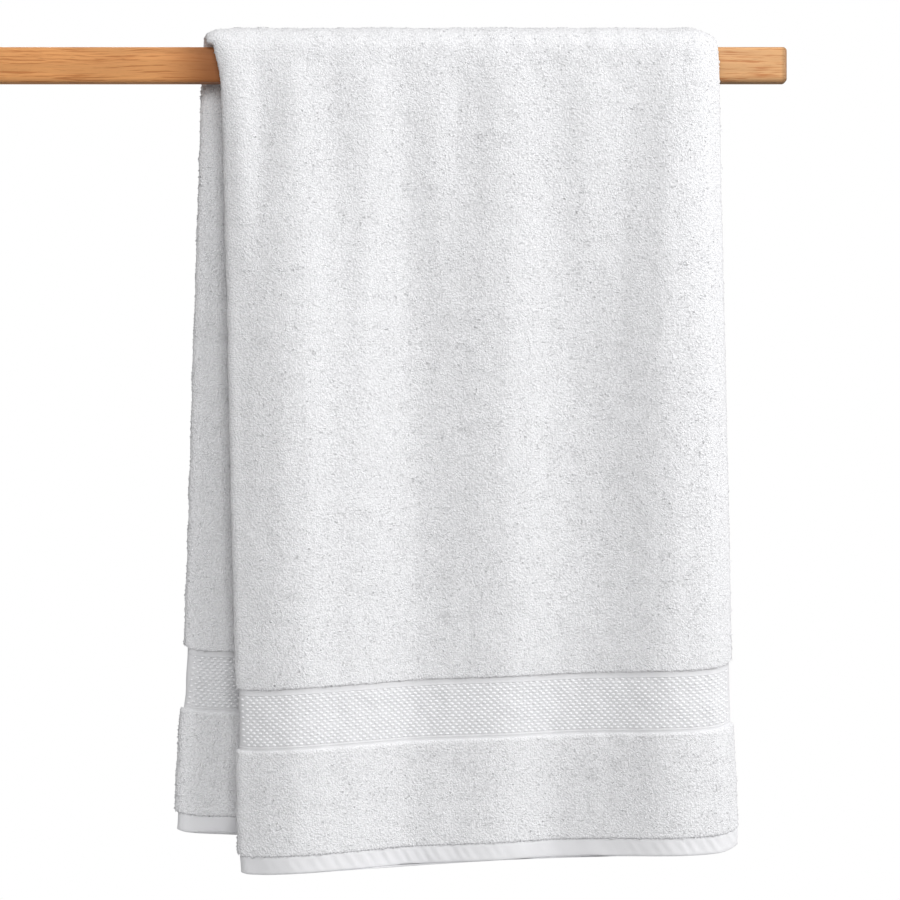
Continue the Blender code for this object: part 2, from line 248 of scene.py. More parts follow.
# The tufts of pile, as far as a turn round the fold: shares of the pitch by which
# they stray, of their height that is sunk and of their radius by which they are
# longer, their lean, and how low they are this near to the free edge and the fold
TUFT_INSET = 0.7 * MM
TUFT_TURN = 2.6
TUFT_STRAY = 0.3
TUFT_SUNK = 0.6
TUFT_LONGER = 1.45
TUFT_LEAN = 0.35
TUFT_HEIGHTS, TUFT_RADII = (0.6, 1.4), (0.8, 1.2)
LOW_TUFTS, LOW_TUFT_SHARE = 12 * MM, 0.55

# The yarn pitch and the whiteness of the flat cloths and of the dots. The hem's
# whiteness is the cloth's own; the band's lower one is painted shade between the
# dots, and the dots' higher one is painted light on their tops
BAND_YARN, HEM_YARN, DOT_YARN = (0.8 * MM, 0.86), (0.6 * MM, 0.93), (0.5 * MM, 1.05)

# The oak: its fibres on the sides and the end grain, and the places along the bar
# between which it grows lighter, and between which the painted shade of the cloth
# grows towards the cloth and ends past it, under the cloth
SIDE_FIBRES, END_FIBRES, FIBRE_WIDTH = 30 * MM, 4 * MM, 1.05 * MM
OAK_LIGHTENS = (0.22, 0.52)
OAK_CLOTH_SHADE_GROWS = (0.150, 0.204)
OAK_CLOTH_SHADE_ENDS = (0.560, 0.578)


def settings():
    return bpy.context.scene.bath_towel


def ease(start, end, value):
    """0 before start, 1 after end, and a smooth passage between."""
    share = np.clip((value - start) / (end - start), 0, 1)
    return share * share * (3 - 2 * share)


def blend(first, second, share):
    return first + (second - first) * share


def edge_place(edge, along):
    """A side edge's place along the bar."""
    passed = (1 + np.tanh((along - edge.turn) / edge.reach)) / 2
    if edge.rolled:
        passed = np.maximum(passed, ROLL_SHARE * ease(ROLL_START, ROLL_FULL, along))
    behind, far = along > 0, np.abs(along)
    lean = np.where(behind, edge.lean_back, edge.lean_front) * far
    low = np.where(behind, BACK_HEM.drop, FRONT_HEM.drop)
    flare = np.where(behind, edge.spread_back, edge.spread_front)
    return blend(edge.front, edge.back, passed) + lean + flare * ease(low - SPREAD_LENGTH, low, far)


def hem_along(hem, across):
    """How far from the bar's top the hem lies, on the cloth's middle surface."""
    drop = hem.drop - hem.climb * across + hem.level * across * across
    drop = drop - hem.lift_left * np.exp(-across / hem.reach_left)
    drop = drop - hem.lift_right * np.exp(-(1 - across) / hem.reach_right)
    return BEND_END + ARRIS_Z + drop


HEM_MIDDLE_FRONT = float(hem_along(FRONT_HEM, 0.5))
HEM_MIDDLE_BACK = float(hem_along(BACK_HEM, 0.5))

# The pieces of tufted pile. Each starts and ends at a distance from its hem, or
# goes on to the top of the bar. The facing ones are on the strip that the folded
# cloth shows past the front panel.
Tufted = namedtuple("Tufted", "name behind facing start end")
BORDER = (HEM_LENGTH + 0.2 * MM, BAND_START - 1.8 * MM)
ABOVE_BAND = BAND_END - 0.3 * MM
TUFTED = (
    Tufted("front_border_tufts", False, False, *BORDER),
    Tufted("front_pile_tufts", False, False, ABOVE_BAND, HEM_MIDDLE_FRONT),
    Tufted("back_border_tufts", True, False, *BORDER),
    Tufted("back_pile_tufts", True, False, ABOVE_BAND, HEM_MIDDLE_BACK),
    Tufted("facing_border_tufts", True, True, *BORDER),
    Tufted("facing_pile_tufts", True, True, ABOVE_BAND, HEM_MIDDLE_BACK - BELOW_BAR),
)
DOTTED = (("front_band_dots", False), ("back_band_dots", True))
STITCHED = (("front_hem_stitches", False), ("back_hem_stitches", True))


def over_bar(along):
    """The middle surface's path in the plane across the bar, before its ridges."""
    side, far = np.where(along > 0, 1.0, -1.0), np.abs(along)
    turn = np.clip((far - ARRIS_Y) / BEND, 0, math.pi / 2)
    out_y, out_z = np.sin(turn), np.cos(turn)
    y = np.minimum(far, ARRIS_Y) + BEND * out_y
    z = ARRIS_Z + BEND * out_z - np.maximum(far - BEND_END, 0)
    return side * y, z, side * out_y, out_z


def ridge_height(ridge, across, width, share):
    from_middle = (across - blend(ridge.across_top, ridge.across_low, share)) * width
    grown = ease(0, RIDGES_GROWN, share)
    spread = np.where(
        from_middle < 0,
        blend(ridge.left_top, ridge.left_low, grown),
        blend(ridge.right_top, ridge.right_low, grown),
    )
    rise = blend(ridge.rise_top, ridge.rise_low, grown)
    rise = rise * (1 - ease(ridge.fade_from, ridge.fade_to, share))
    return rise * np.exp(-((from_middle / spread) ** 2))


def relief(panel, across, far, width):
    """How far one panel stands out from its straight hang."""
    share, curl = far / panel.hem.drop, panel.curl
    height = sum(ridge_height(ridge, across, width, share) for ridge in panel.ridges)
    height = height * ease(RIDGES_START, RIDGES_FULL, far)
    turned = curl.left * np.exp(-across / curl.reach_left)
    turned = turned + curl.right * np.exp(-(1 - across) / curl.reach_right)
    settled = turned + panel.drift * ease(DRIFT_FROM, DRIFT_TO, share)
    return height - settled * ease(CURL_START, CURL_FULL, far)


def middle_surface(across, along):
    y, z, out_y, out_z = over_bar(along)
    left, right = edge_place(LEFT_EDGE, along), edge_place(RIGHT_EDGE, along)
    back, front = (relief(panel, across, np.abs(along), right - left) for panel in (BACK, FRONT))
    out = np.where(along > 0, back, front)
    return np.stack((blend(left, right, across), y + out_y * out, z + out_z * out), axis=-1)


def unit(vectors):
    return vectors / np.linalg.norm(vectors, axis=-1, keepdims=True)


def along_at(across, station):
    """A row's place along the cloth. A station is its place at the cloth's middle;
    over the bar a row is level, and near a hem it follows the hem's slant."""
    behind, far = station > 0, np.abs(station)
    hem = np.where(behind, hem_along(BACK_HEM, across), hem_along(FRONT_HEM, across))
    hem_middle = np.where(behind, HEM_MIDDLE_BACK, HEM_MIDDLE_FRONT)
    share = (far - LEVEL_END) / (hem_middle - NEAR_HEM - LEVEL_END)
    hanging = blend(LEVEL_END, hem - NEAR_HEM, share)
    near = hem - (hem_middle - far)
    far = np.where(far <= LEVEL_END, far, np.where(share >= 1, near, hanging))
    return np.where(behind, far, -far)


def hem_distance(station):
    return np.minimum(HEM_MIDDLE_FRONT + station, HEM_MIDDLE_BACK - station)


def station_from_hem(distance, behind):
    return HEM_MIDDLE_BACK - distance if behind else distance - HEM_MIDDLE_FRONT


def rounded(distance, reach):
    """The share of the thickness that is left this near to a rounded edge."""
    inside = np.clip(distance / reach, 0, 1)
    return THINNEST + (1 - THINNEST) * np.sqrt(1 - (1 - inside) ** 2)


def sag_on_bar(station):
    """How far the inner layer sinks onto the bar's top between the two arrises."""
    wave = np.cos(math.pi * np.clip(station / (2 * ARRIS_Y), -0.5, 0.5)) ** 2
    return (ARRIS_CLEARANCE - REST_GAP) * wave


def free_edge_droop(to_edge):
    """The outer layer's free edge falls in past the end of the inner layer."""
    passed = INNER_LAYER_SHORT - to_edge - DROOP_START
    return FREE_EDGE_DROOP * ease(0, INNER_LAYER_SHORT, passed)


# What a row's section needs at its station
Row = namedtuple(
    "Row", "station thickness half width reach sag inset_left fold_start outer_end inner_end"
)


def row_at(station, pile=1.0, extra=0.0, cloth=BAND_CLOTH):
    """The values of a row, or of each of many rows, at its station."""
    thickness = blend(cloth.thickness, PILE_THICKNESS, pile) + extra
    inset_left, inset_right = cloth.inset_left * (1 - pile), cloth.inset_right * (1 - pile)
    width = edge_place(RIGHT_EDGE, station) - edge_place(LEFT_EDGE, station)
    on_bar = 1 - ease(BEND_END, 2 * BEND_END, np.abs(station))
    reach = blend(FOLD_REACH, FOLD_REACH_ON_BAR, on_bar)
    return Row(
        station=station,
        thickness=thickness,
        half=thickness / 2 * rounded(hem_distance(station), HEM_ROLL),
        width=width,
        reach=reach,
        sag=sag_on_bar(station),
        inset_left=inset_left,
        fold_start=inset_left + reach,
        outer_end=width - inset_right,
        inner_end=width - INNER_LAYER_SHORT,
    )


def cloth_point(row, from_left, out):
    """A point off the middle surface, on its outward side where out is positive."""
    near = SURFACE_STEP
    across = from_left / row.width
    along = along_at(across, row.station)
    width = edge_place(RIGHT_EDGE, along) - edge_place(LEFT_EDGE, along)
    sideways = middle_surface(across + near / width, along)
    sideways = sideways - middle_surface(across - near / width, along)
    onwards = middle_surface(across, along + near) - middle_surface(across, along - near)
    normal = unit(np.cross(sideways, onwards))
    return middle_surface(across, along) + normal * np.asarray(out)[..., None]


def on_outer_layer(row, from_left, face, lift):
    to_edge = row.outer_end - from_left
    middle = LAYER_MIDDLE - free_edge_droop(to_edge)
    spare = row.half * rounded(to_edge, EDGE_ROUND) + lift
    return cloth_point(row, from_left, middle + face * spare)


def round_fold(row, turn, face, lift):
    """A point on the left fold: turn is 0 at the outer layer and pi at the inner one."""
    swing, height = np.sin(turn), np.cos(turn)
    if face > 0:
        radius = LAYER_MIDDLE + row.half + row.sag / 2 + lift
        from_left = row.fold_start - (row.reach + lift) * swing
    else:
        radius = LAYER_MIDDLE - row.half + row.sag / 2
        from_left = row.inset_left + row.thickness + radius * (1 - swing)
    return cloth_point(row, from_left, radius * height - row.sag / 2)


def on_inner_layer(row, from_left, face, lift):
    spare = row.half * rounded(row.inner_end - from_left, EDGE_ROUND) + lift
    return cloth_point(row, from_left, -LAYER_MIDDLE - row.sag - face * spare)


def mesh_piece(name, points, faces, materials, slots=None):
    """A mesh object at the origin, smooth-shaded."""
    mesh = bpy.data.meshes.new(name)
    mesh.from_pydata(points.tolist(), [], faces)
    for material in materials:
        mesh.materials.append(material)
    if slots is not None:
        mesh.polygons.foreach_set("material_index", slots)
    mesh.shade_smooth()
    mesh.update()
    made = bpy.data.objects.new(name, mesh)
    bpy.context.scene.collection.objects.link(made)
    return made


def map_cloth(piece, spots):
    """Lays the cloth's own map on a piece: each vertex's place across and along it."""
    layer = piece.data.uv_layers.new(name="cloth")
    corner_points = np.zeros(len(piece.data.loops), int)
    piece.data.loops.foreach_get("vertex_index", corner_points)
    layer.data.foreach_set("uv", spots[corner_points].ravel())


def node(tree, kind, inputs=None, **attributes):
    """A new node. Each input takes a constant or another node's output."""
    made = tree.nodes.new(kind)
    for name, value in attributes.items():
        setattr(made, name, value)
    for name, value in (inputs or {}).items():
        if isinstance(value, bpy.types.NodeSocket):
            tree.links.new(value, made.inputs[name])
        else:
            made.inputs[name].default_value = value
    return made


def math_node(tree, operation, *values):
    return node(tree, "ShaderNodeMath", dict(enumerate(values)), operation=operation).outputs[0]


def vector_math(tree, operation, inputs):
    return node(tree, "ShaderNodeVectorMath", inputs, operation=operation).outputs[0]


def noise(tree, place, scale, detail, roughness=0.5):
    """A noise texture's outputs."""
    inputs = {"Vector": place, "Scale": scale, "Detail": detail, "Roughness": roughness}
    return node(tree, "ShaderNodeTexNoise", inputs).outputs


def colour_mix(tree, share, first, second, blend_type="MIX"):
    inputs = {0: share, 6: first, 7: second}
    return node(tree, "ShaderNodeMix", inputs, data_type="RGBA", blend_type=blend_type).outputs[2]


def remap(tree, value, start=(0.0, 1.0), end=(0.0, 1.0)):
    """Carries a value smoothly from one range to another."""
    limits = zip(("From Min", "From Max", "To Min", "To Max"), (*start, *end))
    inputs = {"Value": value, **dict(limits)}
    return node(tree, "ShaderNodeMapRange", inputs, interpolation_type="SMOOTHSTEP").outputs[0]


FALLING = (1.0, 0.0)


def terry_loops(tree, given):
    """Loops of yarn: their height, and a mask of the hollows between them."""
    density = math_node(tree, "DIVIDE", 1.0, given["Loop Pitch"])
    scaled = vector_math(tree, "SCALE", {0: given["Vector"], "Scale": density})
    drift = noise(tree, scaled, 0.45, 2.0)["Color"]
    centred = vector_math(tree, "SUBTRACT", {0: drift, 1: (0.5, 0.5, 0.5)})
    push = math_node(tree, "MULTIPLY", given["Unevenness"], 2.0)
    pushed = vector_math(tree, "SCALE", {0: centred, "Scale": push})
    place = vector_math(tree, "ADD", {0: scaled, 1: pushed})
    cells = {"Vector": place, "Scale": 1.0, "Randomness": 0.85}
    loops = node(tree, "ShaderNodeTexVoronoi", cells).outputs["Distance"]
    round_tops = math_node(tree, "MULTIPLY", remap(tree, loops, (0.08, 0.78), FALLING), 0.7)
    yarn = math_node(tree, "MULTIPLY", noise(tree, place, 2.6, 3.0, 0.6)[0], 0.6)
    height = math_node(tree, "ADD", round_tops, yarn)
    hollows = remap(tree, height, (0.18, 0.62), FALLING)
    tufts = noise(tree, given["Vector"], 95.0, 2.0)[0]
    return {"Height": height, "Hollows": hollows, "Tufts": tufts}


def plain_weave(tree, given):
    """Plain woven yarns along the cloth's own map: their height and the gaps."""
    split = node(tree, "ShaderNodeSeparateXYZ", {"Vector": given["Vector"]}).outputs
    density = math_node(tree, "DIVIDE", math.pi, given["Yarn Pitch"])
    warp, weft = (
        math_node(tree, "SINE", math_node(tree, "MULTIPLY", split[axis], density)) for axis in (0, 1)
    )
    crossing = math_node(tree, "ABSOLUTE", math_node(tree, "MULTIPLY", warp, weft))
    fuzz = noise(tree, given["Vector"], 900.0, 2.0)[0]
    uneven = math_node(tree, "MULTIPLY", fuzz, given["Unevenness"])
    height = math_node(tree, "ADD", math_node(tree, "MULTIPLY", crossing, 0.7), uneven)
    return {"Height": height, "Gaps": remap(tree, height, (0.05, 0.35), FALLING)}


def slow_tone(tree, given):
    """Slow changes of tone over a surface, around 1."""
    density = math_node(tree, "DIVIDE", 1.0, given["Patch Size"])
    patches = noise(tree, given["Vector"], density, 3.0)[0]
    centred = math_node(tree, "SUBTRACT", patches, 0.5)
    change = math_node(tree, "MULTIPLY", centred, given["Amount"])
    return {"Tone": math_node(tree, "ADD", change, 1.0)}


def wood_grain(tree, given):
    """Wood grain along X: short fibres, pores and a slow figure."""
    split = node(tree, "ShaderNodeSeparateXYZ", {"Vector": given["Vector"]}).outputs
    waver = math_node(tree, "SUBTRACT", noise(tree, given["Vector"], 14.0, 1.0)[0], 0.5)
    height = math_node(tree, "ADD", split[2], math_node(tree, "MULTIPLY", waver, 4 * MM))

    def stretched_noise(longer, wider, detail):
        length = math_node(tree, "MULTIPLY", given["Fibre Length"], longer)
        width = math_node(tree, "MULTIPLY", given["Fibre Width"], wider)
        parts = {
            "X": math_node(tree, "DIVIDE", split[0], length),
            "Y": math_node(tree, "DIVIDE", split[1], width),
            "Z": math_node(tree, "DIVIDE", height, width),
        }
        place = node(tree, "ShaderNodeCombineXYZ", parts).outputs[0]
        return noise(tree, place, 1.0, detail, 0.6)[0]

    return {
        "Fibres": remap(tree, stretched_noise(1.0, 1.0, 2.0), (0.46, 0.68)),
        "Pores": remap(tree, stretched_noise(0.3, 0.5, 1.0), (0.60, 0.70)),
        "Figure": remap(tree, stretched_noise(6.0, 6.0, 2.0), (0.3, 0.7)),
    }


# The shared effects: each group's values beside its vector, and what builds it
GROUPS = {
    "Terry loops": ({"Loop Pitch": 1.9 * MM, "Unevenness": 0.5}, terry_loops),
    "Plain weave": ({"Yarn Pitch": 0.7 * MM, "Unevenness": 0.5}, plain_weave),
    "Slow tone": ({"Patch Size": 60 * MM, "Amount": 0.05}, slow_tone),
    "Wood grain": ({"Fibre Length": 16 * MM, "Fibre Width": 0.9 * MM}, wood_grain),
}


def new_group(name):
    """A shader node group that takes a vector and values, and puts out values."""
    values, build = GROUPS[name]
    tree = bpy.data.node_groups.new(name, "ShaderNodeTree")
    tree.interface.new_socket("Vector", in_out="INPUT", socket_type="NodeSocketVector")
    for label, value in values.items():
        socket = tree.interface.new_socket(label, in_out="INPUT", socket_type="NodeSocketFloat")
        socket.default_value = value
    results = build(tree, tree.nodes.new("NodeGroupInput").outputs)
    for label in results:
        tree.interface.new_socket(label, in_out="OUTPUT", socket_type="NodeSocketFloat")
    node(tree, "NodeGroupOutput", results)
    return tree


def place_group(tree, name, inputs):
    """The outputs of a shared group, which is built when it is first wanted."""
    group = bpy.data.node_groups.get(name) or new_group(name)
    return node(tree, "ShaderNodeGroup", inputs, node_tree=group).outputs


def new_material(name, roughness, sheen=0.0):
    """A material with its node tree, its shader and the object's coordinates."""
    made = bpy.data.materials.new(name)
    made.use_nodes = True
    tree = made.node_tree
    shader = tree.nodes["Principled BSDF"]
    shader.inputs["Roughness"].default_value = roughness
    shader.inputs["Sheen Weight"].default_value = sheen
    shader.inputs["Sheen Roughness"].default_value = 0.6
    shader.inputs["Specular IOR Level"].default_value = 0.25
    return made, tree, shader, node(tree, "ShaderNodeTexCoord").outputs["Object"]


def scaled_colour(tree, colour, *shares):
    """The colour, multiplied by each of the shares in turn."""
    mixed = colour if isinstance(colour, bpy.types.NodeSocket) else (*colour, 1)
    for share in shares:
        grey = node(tree, "ShaderNodeCombineColor", {"Red": share, "Green": share, "Blue": share})
        mixed = colour_mix(tree, 1.0, mixed, grey.outputs[0], "MULTIPLY")
    return mixed


def dress(tree, shader, colour, height, distance, strength):
    """Gives a shader its colour and its relief."""
    bump = {"Height": height, "Distance": distance, "Strength": strength}
    tree.links.new(colour, shader.inputs["Base Color"])
    tree.links.new(node(tree, "ShaderNodeBump", bump).outputs[0], shader.inputs["Normal"])


def pile_material(name):
    given = settings()
    made, tree, shader, place = new_material(name, 1.0, sheen=0.25)
    loops = place_group(tree, "Terry loops", {"Vector": place, "Loop Pitch": given.loop_pitch})
    tone = place_group(tree, "Slow tone", {"Vector": place, "Amount": 0.04})["Tone"]
    # The hollows between the loops are painted darker: painted shade
    hollow_painted_shade = remap(tree, loops["Hollows"], end=(1.0, 1 - given.hollow_shade))
    height = math_node(
        tree, "ADD", loops["Height"], math_node(tree, "MULTIPLY", loops["Tufts"], 0.9)
    )
    colour = scaled_colour(tree, given.pile_colour, hollow_painted_shade, tone)
    dress(tree, shader, colour, height, given.loop_height, 0.9)
    return made


def weave_material(name, yarn_pitch, whiteness_and_painted_light):
    made, tree, shader, place = new_material(name, 0.85, sheen=0.15)
    cloth_map = node(tree, "ShaderNodeUVMap", uv_map="cloth").outputs[0]
    weave = place_group(tree, "Plain weave", {"Vector": cloth_map, "Yarn Pitch": yarn_pitch})
    tone = place_group(tree, "Slow tone", {"Vector": place, "Amount": 0.03})["Tone"]
    # The gaps between the yarns are painted darker: painted shade
    gap_painted_shade = remap(tree, weave["Gaps"], end=(1.0, 0.88))
    # Whiteness: the hem's own, painted shade on the band's ground, painted light on the dots
    yarn = [whiteness_and_painted_light * channel for channel in settings().weave_colour]
    colour = scaled_colour(tree, yarn, gap_painted_shade, tone)
    dress(tree, shader, colour, weave["Height"], 0.12 * MM, 0.7)
    return made


def thread_material():
    made, tree, shader, place = new_material("cotton_thread", 0.8, sheen=0.1)
    patches = {"Vector": place, "Patch Size": 1.2 * MM, "Amount": 0.25}
    tone = place_group(tree, "Slow tone", patches)["Tone"]
    colour = scaled_colour(tree, settings().thread_colour, tone)
    dress(tree, shader, colour, tone, 0.1 * MM, 0.5)
    return made


def cloth_rows():
    """The rows of the towel's mesh, from the front hem to the back one: their
    stations, and each one's profile."""
    hem = [Profile(d * MM, pile, extra * MM, HEM_CLOTH) for d, pile, extra in HEM_PROFILE]
    band = [Profile(d * MM, pile, extra * MM, BAND_CLOTH) for d, pile, extra in BAND_PROFILE]

    def pile_rows(start, end, step):
        count = max(int(round((end - start) / step)), 2)
        return [Profile(blend(start, end, row / count), 1, 0, BAND_CLOTH) for row in range(1, count)]

    def panel(hem_middle, step):
        rows = hem + pile_rows(hem[-1].distance, band[0].distance, step) + band
        return rows + pile_rows(band[-1].distance, hem_middle - LEVEL_END, step)

    front = panel(HEM_MIDDLE_FRONT, FRONT_STEP)
    back = panel(HEM_MIDDLE_BACK, BACK_STEP)[::-1]
    level = [Profile(0, 1, 0, BAND_CLOTH)] * LEVEL_ROWS
    stations = [station_from_hem(row.distance, False) for row in front]
    stations += list(np.linspace(-LEVEL_END, LEVEL_END, LEVEL_ROWS))
    stations += [station_from_hem(row.distance, True) for row in back]
    return np.array(stations), front + level + back


def column(values):
    """The values as a column, so that they spread over the mesh's columns."""
    return np.array(values, float)[:, None]


def section_rows():
    """Each row's values as columns, and the rows' profiles."""
    stations, profiles = cloth_rows()
    cloth = Flat(*(column([getattr(p.cloth, field) for p in profiles]) for field in Flat._fields))
    pile = column([profile.pile for profile in profiles])
    extra = column([profile.extra for profile in profiles])
    return row_at(stations[:, None], pile, extra, cloth), profiles


def soft_dimples(across_cloth, station, height):
    """A quiet unevenness of the hanging cloth, from waves of many directions."""
    random = np.random.default_rng(DIMPLE_SEED)
    total = 0
    for _ in range(DIMPLE_WAVES):
        length = random.uniform(*DIMPLE_LENGTHS) * MM
        turn, phase = random.uniform(0, math.pi), random.uniform(0, 7)
        across_wave = across_cloth * math.cos(turn) + station * math.sin(turn)
        total = total + np.sin(2 * math.pi * across_wave / length + phase)
    return height * total / math.sqrt(DIMPLE_WAVES / 2)


def hem_puckers(across_cloth, station, height):
    """Slanting puckers in a turned hem, between its end and its stitches."""
    distance = hem_distance(station)
    window = ease(*PUCKERS_GROW, distance) * (1 - ease(*PUCKERS_END, distance))
    slant = across_cloth - PUCKER_SLANT * distance
    wave = sum(
        share * np.sin(2 * math.pi * slant / length + waver * np.sin(slant / waver_length))
        for share, length, waver, waver_length in PUCKER_WAVES
    )
    strength = 0.5 + 0.5 * np.cos((across_cloth - PUCKERS_MIDDLE) / PUCKERS_REACH)
    return height * strength * wave * window


def shown_relief(across_cloth, station):
    """What stands out from the shown side: the quiet unevenness and the puckers."""
    given = settings()
    dimples = soft_dimples(across_cloth, station, given.dimple_depth)
    return dimples + hem_puckers(across_cloth, station, given.pucker_depth) - SKIN_SUNK


def face_columns(row, face, edge_columns, counts):
    """The points of one side of the cloth, from its free edge over the outer layer
    and round the fold to the inner layer's free edge, with their place across."""
    outer_count, fold_count, inner_count = counts
    outer_edge, inner_edge = row.outer_end - edge_columns, row.inner_end - edge_columns[::-1]
    shares = np.arange(1, outer_count + 1) / outer_count
    outer = np.hstack((outer_edge, blend(outer_edge[:, -1:], row.fold_start, shares)))
    turns = np.pi * np.arange(1, fold_count) / fold_count + 0 * row.width
    shares = np.arange(inner_count) / inner_count
    inner = np.hstack((blend(row.fold_start, inner_edge[:, :1], shares), inner_edge))
    fold_radius = LAYER_MIDDLE + row.half
    across_fold = row.outer_end - row.fold_start
    past_fold = across_fold + math.pi * fold_radius + inner - row.fold_start
    across = np.hstack((row.outer_end - outer, across_fold + turns * fold_radius, past_fold))
    lift = shown_relief(across, row.station) if face > 0 else 0 * across
    lifts = np.split(lift, np.cumsum([outer.shape[1], turns.shape[1]]), axis=1)
    layers = ((on_outer_layer, outer), (round_fold, turns), (on_inner_layer, inner))
    points = [layer(row, place, face, lift) for (layer, place), lift in zip(layers, lifts)]
    return np.concatenate(points, axis=1), across


def quads_between(corners, flip=False):
    return np.stack(corners[::-1] if flip else corners, axis=-1).reshape(-1, 4)


def grid_faces(start, rows, columns, flip):
    first = start + np.arange(rows - 1)[:, None] * columns + np.arange(columns - 1)
    return quads_between((first, first + 1, first + columns + 1, first + columns), flip)


def zipped(outer, inner, flip):
    """Triangles between two lines of vertices of different counts."""
    faces, i, j = [], 0, 0
    while i < len(outer) - 1 or j < len(inner) - 1:
        outer_next = (i + 1) / (len(outer) - 1)
        inner_next = (j + 1) / (len(inner) - 1)
        if j == len(inner) - 1 or (i < len(outer) - 1 and outer_next <= inner_next):
            face = (outer[i], outer[i + 1], inner[j])
            i += 1
        else:
            face = (outer[i], inner[j + 1], inner[j])
            j += 1
        faces.append(face[::-1] if flip else face)
    return faces


def material_slot(profile):
    """The place of a row's material: pile, band or hem."""
    if profile.pile > LEAST_PILE:
        return PILE_SLOT
    plain_cloth = profile.cloth is HEM_CLOTH or profile.distance < RIB_END
    return HEM_SLOT if plain_cloth else BAND_SLOT


class TOWEL_OT_cloth(bpy.types.Operator):
    """Makes the towel's cloth in place of its solid: pile, woven bands and hems"""

    bl_idname = "bath_towel.cloth"
    bl_label = "Towel cloth"

    def execute(self, context):
        row, profiles = section_rows()
        shown, shown_across = face_columns(row, 1, EDGE_COLUMNS, SHOWN_COLUMNS)
        hidden, hidden_across = face_columns(row, -1, HIDDEN_EDGE_COLUMNS, HIDDEN_COLUMNS)
        rows, shown_count, hidden_count = len(profiles), shown.shape[1], hidden.shape[1]
        offset = rows * shown_count
        points = np.concatenate((shown.reshape(-1, 3), hidden.reshape(-1, 3)))
        maps = [
            np.stack((across, 0 * across + row.station), axis=-1).reshape(-1, 2)
            for across in (shown_across, hidden_across)
        ]
        walls = []
        for near, far in ((0, 0), (shown_count - 1, hidden_count - 1)):
            outer = np.arange(rows) * shown_count + near
            inner = offset + np.arange(rows) * hidden_count + far
            walls.append(quads_between((outer[:-1], outer[1:], inner[1:], inner[:-1]), not near))
        quads = np.concatenate(
            (
                grid_faces(0, rows, shown_count, False),
                grid_faces(offset, rows, hidden_count, True),
                *walls,
            )
        )
        first = quads[:, 0]
        row_of = np.where(first < offset, first // shown_count, (first - offset) // hidden_count)
        slots = list(np.array([material_slot(profile) for profile in profiles])[row_of])
        caps = zipped(range(shown_count), range(offset, offset + hidden_count), True)
        last_shown, last_hidden = offset - shown_count, len(points) - hidden_count
        caps += zipped(range(last_shown, offset), range(last_hidden, len(points)), False)
        slots += [HEM_SLOT] * len(caps)
        materials = (
            pile_material("cotton_pile"),
            weave_material("cotton_band", *BAND_YARN),
            weave_material("cotton_hem", *HEM_YARN),
        )
        piece = mesh_piece("towel_cloth", points, quads.tolist() + caps, materials, slots)
        map_cloth(piece, np.concatenate(maps))
        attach(piece, "root")
        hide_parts("towel")
        return {"FINISHED"}


def skin(station, across_cloth, lift, pile, cloth):
    """Points on the cloth's shown side, by the developed distance from its free
    edge: over the outer layer, round the fold and on over the inner layer."""
    row = row_at(station, pile, 0.0, cloth)
    lift = lift + shown_relief(across_cloth, station)
    across_fold = row.outer_end - row.fold_start
    radius = LAYER_MIDDLE + row.half
    turn = np.clip((across_cloth - across_fold) / radius, 0, math.pi)
    flat = on_outer_layer(row, row.outer_end - np.minimum(across_cloth, across_fold), 1, lift)
    folded = round_fold(row, turn, 1, lift)
    past = np.maximum(across_cloth - across_fold - math.pi * radius, 0)
    inner = on_inner_layer(row, row.fold_start + past, 1, lift)
    shown = np.where((turn > 0)[:, None], folded, flat)
    return np.where((past > 0)[:, None], inner, shown)


def skin_frame(station, across_cloth, lift, pile=0.0, cloth=BAND_CLOTH):
    """Places on the shown side and their directions: sideways, onwards, outwards."""

    def beside(onwards=0.0, sideways=0.0):
        return skin(station + onwards, across_cloth + sideways, lift, pile, cloth)

    sideways = unit(beside(sideways=-SKIN_STEP) - beside(sideways=SKIN_STEP))
    onwards = unit(beside(onwards=SKIN_STEP) - beside(onwards=-SKIN_STEP))
    outwards = unit(np.cross(sideways, onwards))
    return beside(), sideways, unit(np.cross(outwards, sideways)), outwards


def developed_reach(row, fold_turn):
    """How far it is from the free edge, over the outer layer, to a turn of the fold."""
    return float((row.outer_end - row.fold_start + fold_turn * (LAYER_MIDDLE + row.half))[0])


def taken_model():
    """The shape just modelled, as an array of points and its faces; the object goes."""
    piece = bpy.context.object
    points = np.array([vertex.co for vertex in piece.data.vertices])
    faces = [list(polygon.vertices) for polygon in piece.data.polygons]
    bpy.data.objects.remove(piece, do_unlink=True)
    return points, faces


def copies(model, places, sideways, onwards, outwards, sizes):
    """The modelled shape, set at each place in its own directions and sizes."""
    points, faces = model
    spread = points[None, :, :, None] * sizes[:, None, :, None]
    axes = np.stack((sideways, onwards, outwards), axis=1)[:, None, :, :]
    placed = (spread * axes).sum(axis=2) + places[:, None, :]
    shift = np.arange(len(places)) * len(points)
    joined = [[corner + start for corner in face] for start in shift.tolist() for face in faces]
    return placed.reshape(-1, 3), joined


def trim_piece(name, model, material, places, sizes):
    """Copies of a modelled shape on the cloth, as one piece of its trim."""
    points, faces = copies(model, *places, sizes)
    piece = mesh_piece(name, points, faces, (material,))
    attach(piece, "root")
    return piece


def set_mode(mode):
    bpy.ops.object.mode_set(mode=mode)


def model_tuft():
    """One tuft of pile: a small open cone, standing on z = 0."""
    bpy.ops.mesh.primitive_cone_add(
        vertices=3, radius1=1, radius2=0, depth=1, end_fill_type="NOTHING", location=(0, 0, 0.5)
    )
    bpy.ops.object.transform_apply(location=True, rotation=False, scale=False)
    return taken_model()


